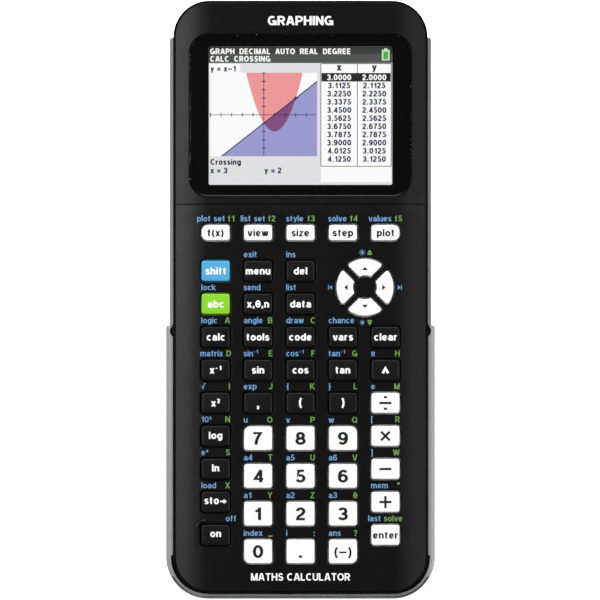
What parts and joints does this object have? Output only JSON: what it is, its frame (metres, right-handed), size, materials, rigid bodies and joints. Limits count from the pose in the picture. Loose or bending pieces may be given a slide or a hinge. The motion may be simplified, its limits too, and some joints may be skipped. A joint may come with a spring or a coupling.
{
  "type": "graphing calculator",
  "caption": "Handheld graphing calculator with a colour display, separate spring-back keys and a ridged slide cover stored on its back.",
  "frame": {"origin": "under the middle of the whole object, on the flat underside of the stored slide cover", "axes": "the calculator lies on its back: +Z points out of the face, +Y points towards the display end, +X points to the right seen from the front"},
  "size_m": [0.0858, 0.1906, 0.0179],
  "materials": {
    "case_plastic": "fine-textured black moulded plastic, satin",
    "cover_plastic": "light grey moulded plastic, satin with a fine grain",
    "lens": "clear polished window with a glossy black printed border",
    "display_metal": "thin pressed steel frame round a colour panel",
    "board": "green solder mask",
    "mat_rubber": "grey silicone rubber",
    "battery_wrap": "blue shrink wrap",
    "screw_steel": "zinc plated steel",
    "key_white": "white moulded plastic, satin, black printed legends",
    "key_black": "black moulded plastic, satin, white printed legends",
    "key_blue": "sky blue moulded plastic, satin, white printed legend",
    "key_green": "bright green moulded plastic, satin, white printed legend"
  },
  "bodies": {
    "case": {"front_case": "case_plastic", "screen_lens": "lens", "display_module": "display_metal", "circuit_board": "board", "key_mat": "mat_rubber", "rear_case": "case_plastic", "battery": "battery_wrap", "battery_cover": "case_plastic", "screws": "screw_steel"},
    "slide_cover": {"slide_cover": "cover_plastic"},
    "key_function": {"key_function": "key_white"},
    "key_view": {"key_view": "key_white"},
    "key_size": {"key_size": "key_white"},
    "key_step": {"key_step": "key_white"},
    "key_plot": {"key_plot": "key_white"},
    "key_shift": {"key_shift": "key_blue"},
    "key_menu": {"key_menu": "key_black"},
    "key_delete": {"key_delete": "key_black"},
    "key_letters": {"key_letters": "key_green"},
    "key_variable": {"key_variable": "key_black"},
    "key_data": {"key_data": "key_black"},
    "key_calculate": {"key_calculate": "key_black"},
    "key_tools": {"key_tools": "key_black"},
    "key_program": {"key_program": "key_black"},
    "key_memory": {"key_memory": "key_black"},
    "key_clear": {"key_clear": "key_black"},
    "key_inverse": {"key_inverse": "key_black"},
    "key_sine": {"key_sine": "key_black"},
    "key_cosine": {"key_cosine": "key_black"},
    "key_tangent": {"key_tangent": "key_black"},
    "key_power": {"key_power": "key_black"},
    "key_square": {"key_square": "key_black"},
    "key_comma": {"key_comma": "key_black"},
    "key_open_bracket": {"key_open_bracket": "key_black"},
    "key_close_bracket": {"key_close_bracket": "key_black"},
    "key_divide": {"key_divide": "key_white"},
    "key_log": {"key_log": "key_black"},
    "key_multiply": {"key_multiply": "key_white"},
    "key_ln": {"key_ln": "key_black"},
    "key_minus": {"key_minus": "key_white"},
    "key_store": {"key_store": "key_black"},
    "key_plus": {"key_plus": "key_white"},
    "key_on": {"key_on": "key_black"},
    "key_enter": {"key_enter": "key_white"},
    "key_7": {"key_7": "key_white"},
    "key_8": {"key_8": "key_white"},
    "key_9": {"key_9": "key_white"},
    "key_4": {"key_4": "key_white"},
    "key_5": {"key_5": "key_white"},
    "key_6": {"key_6": "key_white"},
    "key_1": {"key_1": "key_white"},
    "key_2": {"key_2": "key_white"},
    "key_3": {"key_3": "key_white"},
    "key_0": {"key_0": "key_white"},
    "key_point": {"key_point": "key_white"},
    "key_negative": {"key_negative": "key_white"},
    "key_up": {"key_up": "key_white"},
    "key_left": {"key_left": "key_white"},
    "key_down": {"key_down": "key_white"},
    "key_right": {"key_right": "key_white"}
  },
  "joints": [
    {"name": "cover_slide", "type": "slide", "parent": "case", "child": "slide_cover", "axis": [0, -1, 0], "range_m": [0, 0.085]},
    {"name": "key_function_press", "type": "slide", "parent": "case", "child": "key_function", "axis": [0, 0, -1], "range_m": [0, 0.001], "stiffness_N_per_m": 30, "springref_m": -0.001, "deforming": ["key_mat"]},
    {"name": "key_view_press", "type": "slide", "parent": "case", "child": "key_view", "axis": [0, 0, -1], "range_m": [0, 0.001], "stiffness_N_per_m": 30, "springref_m": -0.001, "deforming": ["key_mat"]},
    {"name": "key_size_press", "type": "slide", "parent": "case", "child": "key_size", "axis": [0, 0, -1], "range_m": [0, 0.001], "stiffness_N_per_m": 30, "springref_m": -0.001, "deforming": ["key_mat"]},
    {"name": "key_step_press", "type": "slide", "parent": "case", "child": "key_step", "axis": [0, 0, -1], "range_m": [0, 0.001], "stiffness_N_per_m": 30, "springref_m": -0.001, "deforming": ["key_mat"]},
    {"name": "key_plot_press", "type": "slide", "parent": "case", "child": "key_plot", "axis": [0, 0, -1], "range_m": [0, 0.001], "stiffness_N_per_m": 30, "springref_m": -0.001, "deforming": ["key_mat"]},
    {"name": "key_shift_press", "type": "slide", "parent": "case", "child": "key_shift", "axis": [0, 0, -1], "range_m": [0, 0.001], "stiffness_N_per_m": 30, "springref_m": -0.001, "deforming": ["key_mat"]},
    {"name": "key_menu_press", "type": "slide", "parent": "case", "child": "key_menu", "axis": [0, 0, -1], "range_m": [0, 0.001], "stiffness_N_per_m": 30, "springref_m": -0.001, "deforming": ["key_mat"]},
    {"name": "key_delete_press", "type": "slide", "parent": "case", "child": "key_delete", "axis": [0, 0, -1], "range_m": [0, 0.001], "stiffness_N_per_m": 30, "springref_m": -0.001, "deforming": ["key_mat"]},
    {"name": "key_letters_press", "type": "slide", "parent": "case", "child": "key_letters", "axis": [0, 0, -1], "range_m": [0, 0.001], "stiffness_N_per_m": 30, "springref_m": -0.001, "deforming": ["key_mat"]},
    {"name": "key_variable_press", "type": "slide", "parent": "case", "child": "key_variable", "axis": [0, 0, -1], "range_m": [0, 0.001], "stiffness_N_per_m": 30, "springref_m": -0.001, "deforming": ["key_mat"]},
    {"name": "key_data_press", "type": "slide", "parent": "case", "child": "key_data", "axis": [0, 0, -1], "range_m": [0, 0.001], "stiffness_N_per_m": 30, "springref_m": -0.001, "deforming": ["key_mat"]},
    {"name": "key_calculate_press", "type": "slide", "parent": "case", "child": "key_calculate", "axis": [0, 0, -1], "range_m": [0, 0.001], "stiffness_N_per_m": 30, "springref_m": -0.001, "deforming": ["key_mat"]},
    {"name": "key_tools_press", "type": "slide", "parent": "case", "child": "key_tools", "axis": [0, 0, -1], "range_m": [0, 0.001], "stiffness_N_per_m": 30, "springref_m": -0.001, "deforming": ["key_mat"]},
    {"name": "key_program_press", "type": "slide", "parent": "case", "child": "key_program", "axis": [0, 0, -1], "range_m": [0, 0.001], "stiffness_N_per_m": 30, "springref_m": -0.001, "deforming": ["key_mat"]},
    {"name": "key_memory_press", "type": "slide", "parent": "case", "child": "key_memory", "axis": [0, 0, -1], "range_m": [0, 0.001], "stiffness_N_per_m": 30, "springref_m": -0.001, "deforming": ["key_mat"]},
    {"name": "key_clear_press", "type": "slide", "parent": "case", "child": "key_clear", "axis": [0, 0, -1], "range_m": [0, 0.001], "stiffness_N_per_m": 30, "springref_m": -0.001, "deforming": ["key_mat"]},
    {"name": "key_inverse_press", "type": "slide", "parent": "case", "child": "key_inverse", "axis": [0, 0, -1], "range_m": [0, 0.001], "stiffness_N_per_m": 30, "springref_m": -0.001, "deforming": ["key_mat"]},
    {"name": "key_sine_press", "type": "slide", "parent": "case", "child": "key_sine", "axis": [0, 0, -1], "range_m": [0, 0.001], "stiffness_N_per_m": 30, "springref_m": -0.001, "deforming": ["key_mat"]},
    {"name": "key_cosine_press", "type": "slide", "parent": "case", "child": "key_cosine", "axis": [0, 0, -1], "range_m": [0, 0.001], "stiffness_N_per_m": 30, "springref_m": -0.001, "deforming": ["key_mat"]},
    {"name": "key_tangent_press", "type": "slide", "parent": "case", "child": "key_tangent", "axis": [0, 0, -1], "range_m": [0, 0.001], "stiffness_N_per_m": 30, "springref_m": -0.001, "deforming": ["key_mat"]},
    {"name": "key_power_press", "type": "slide", "parent": "case", "child": "key_power", "axis": [0, 0, -1], "range_m": [0, 0.001], "stiffness_N_per_m": 30, "springref_m": -0.001, "deforming": ["key_mat"]},
    {"name": "key_square_press", "type": "slide", "parent": "case", "child": "key_square", "axis": [0, 0, -1], "range_m": [0, 0.001], "stiffness_N_per_m": 30, "springref_m": -0.001, "deforming": ["key_mat"]},
    {"name": "key_comma_press", "type": "slide", "parent": "case", "child": "key_comma", "axis": [0, 0, -1], "range_m": [0, 0.001], "stiffness_N_per_m": 30, "springref_m": -0.001, "deforming": ["key_mat"]},
    {"name": "key_open_bracket_press", "type": "slide", "parent": "case", "child": "key_open_bracket", "axis": [0, 0, -1], "range_m": [0, 0.001], "stiffness_N_per_m": 30, "springref_m": -0.001, "deforming": ["key_mat"]},
    {"name": "key_close_bracket_press", "type": "slide", "parent": "case", "child": "key_close_bracket", "axis": [0, 0, -1], "range_m": [0, 0.001], "stiffness_N_per_m": 30, "springref_m": -0.001, "deforming": ["key_mat"]},
    {"name": "key_divide_press", "type": "slide", "parent": "case", "child": "key_divide", "axis": [0, 0, -1], "range_m": [0, 0.001], "stiffness_N_per_m": 30, "springref_m": -0.001, "deforming": ["key_mat"]},
    {"name": "key_log_press", "type": "slide", "parent": "case", "child": "key_log", "axis": [0, 0, -1], "range_m": [0, 0.001], "stiffness_N_per_m": 30, "springref_m": -0.001, "deforming": ["key_mat"]},
    {"name": "key_multiply_press", "type": "slide", "parent": "case", "child": "key_multiply", "axis": [0, 0, -1], "range_m": [0, 0.001], "stiffness_N_per_m": 30, "springref_m": -0.001, "deforming": ["key_mat"]},
    {"name": "key_ln_press", "type": "slide", "parent": "case", "child": "key_ln", "axis": [0, 0, -1], "range_m": [0, 0.001], "stiffness_N_per_m": 30, "springref_m": -0.001, "deforming": ["key_mat"]},
    {"name": "key_minus_press", "type": "slide", "parent": "case", "child": "key_minus", "axis": [0, 0, -1], "range_m": [0, 0.001], "stiffness_N_per_m": 30, "springref_m": -0.001, "deforming": ["key_mat"]},
    {"name": "key_store_press", "type": "slide", "parent": "case", "child": "key_store", "axis": [0, 0, -1], "range_m": [0, 0.001], "stiffness_N_per_m": 30, "springref_m": -0.001, "deforming": ["key_mat"]},
    {"name": "key_plus_press", "type": "slide", "parent": "case", "child": "key_plus", "axis": [0, 0, -1], "range_m": [0, 0.001], "stiffness_N_per_m": 30, "springref_m": -0.001, "deforming": ["key_mat"]},
    {"name": "key_on_press", "type": "slide", "parent": "case", "child": "key_on", "axis": [0, 0, -1], "range_m": [0, 0.001], "stiffness_N_per_m": 30, "springref_m": -0.001, "deforming": ["key_mat"]},
    {"name": "key_enter_press", "type": "slide", "parent": "case", "child": "key_enter", "axis": [0, 0, -1], "range_m": [0, 0.001], "stiffness_N_per_m": 30, "springref_m": -0.001, "deforming": ["key_mat"]},
    {"name": "key_7_press", "type": "slide", "parent": "case", "child": "key_7", "axis": [0, 0, -1], "range_m": [0, 0.001], "stiffness_N_per_m": 30, "springref_m": -0.001, "deforming": ["key_mat"]},
    {"name": "key_8_press", "type": "slide", "parent": "case", "child": "key_8", "axis": [0, 0, -1], "range_m": [0, 0.001], "stiffness_N_per_m": 30, "springref_m": -0.001, "deforming": ["key_mat"]},
    {"name": "key_9_press", "type": "slide", "parent": "case", "child": "key_9", "axis": [0, 0, -1], "range_m": [0, 0.001], "stiffness_N_per_m": 30, "springref_m": -0.001, "deforming": ["key_mat"]},
    {"name": "key_4_press", "type": "slide", "parent": "case", "child": "key_4", "axis": [0, 0, -1], "range_m": [0, 0.001], "stiffness_N_per_m": 30, "springref_m": -0.001, "deforming": ["key_mat"]},
    {"name": "key_5_press", "type": "slide", "parent": "case", "child": "key_5", "axis": [0, 0, -1], "range_m": [0, 0.001], "stiffness_N_per_m": 30, "springref_m": -0.001, "deforming": ["key_mat"]},
    {"name": "key_6_press", "type": "slide", "parent": "case", "child": "key_6", "axis": [0, 0, -1], "range_m": [0, 0.001], "stiffness_N_per_m": 30, "springref_m": -0.001, "deforming": ["key_mat"]},
    {"name": "key_1_press", "type": "slide", "parent": "case", "child": "key_1", "axis": [0, 0, -1], "range_m": [0, 0.001], "stiffness_N_per_m": 30, "springref_m": -0.001, "deforming": ["key_mat"]},
    {"name": "key_2_press", "type": "slide", "parent": "case", "child": "key_2", "axis": [0, 0, -1], "range_m": [0, 0.001], "stiffness_N_per_m": 30, "springref_m": -0.001, "deforming": ["key_mat"]},
    {"name": "key_3_press", "type": "slide", "parent": "case", "child": "key_3", "axis": [0, 0, -1], "range_m": [0, 0.001], "stiffness_N_per_m": 30, "springref_m": -0.001, "deforming": ["key_mat"]},
    {"name": "key_0_press", "type": "slide", "parent": "case", "child": "key_0", "axis": [0, 0, -1], "range_m": [0, 0.001], "stiffness_N_per_m": 30, "springref_m": -0.001, "deforming": ["key_mat"]},
    {"name": "key_point_press", "type": "slide", "parent": "case", "child": "key_point", "axis": [0, 0, -1], "range_m": [0, 0.001], "stiffness_N_per_m": 30, "springref_m": -0.001, "deforming": ["key_mat"]},
    {"name": "key_negative_press", "type": "slide", "parent": "case", "child": "key_negative", "axis": [0, 0, -1], "range_m": [0, 0.001], "stiffness_N_per_m": 30, "springref_m": -0.001, "deforming": ["key_mat"]},
    {"name": "key_up_press", "type": "slide", "parent": "case", "child": "key_up", "axis": [0, 0, -1], "range_m": [0, 0.001], "stiffness_N_per_m": 30, "springref_m": -0.001, "deforming": ["key_mat"]},
    {"name": "key_left_press", "type": "slide", "parent": "case", "child": "key_left", "axis": [0, 0, -1], "range_m": [0, 0.001], "stiffness_N_per_m": 30, "springref_m": -0.001, "deforming": ["key_mat"]},
    {"name": "key_down_press", "type": "slide", "parent": "case", "child": "key_down", "axis": [0, 0, -1], "range_m": [0, 0.001], "stiffness_N_per_m": 30, "springref_m": -0.001, "deforming": ["key_mat"]},
    {"name": "key_right_press", "type": "slide", "parent": "case", "child": "key_right", "axis": [0, 0, -1], "range_m": [0, 0.001], "stiffness_N_per_m": 30, "springref_m": -0.001, "deforming": ["key_mat"]}
  ]
}
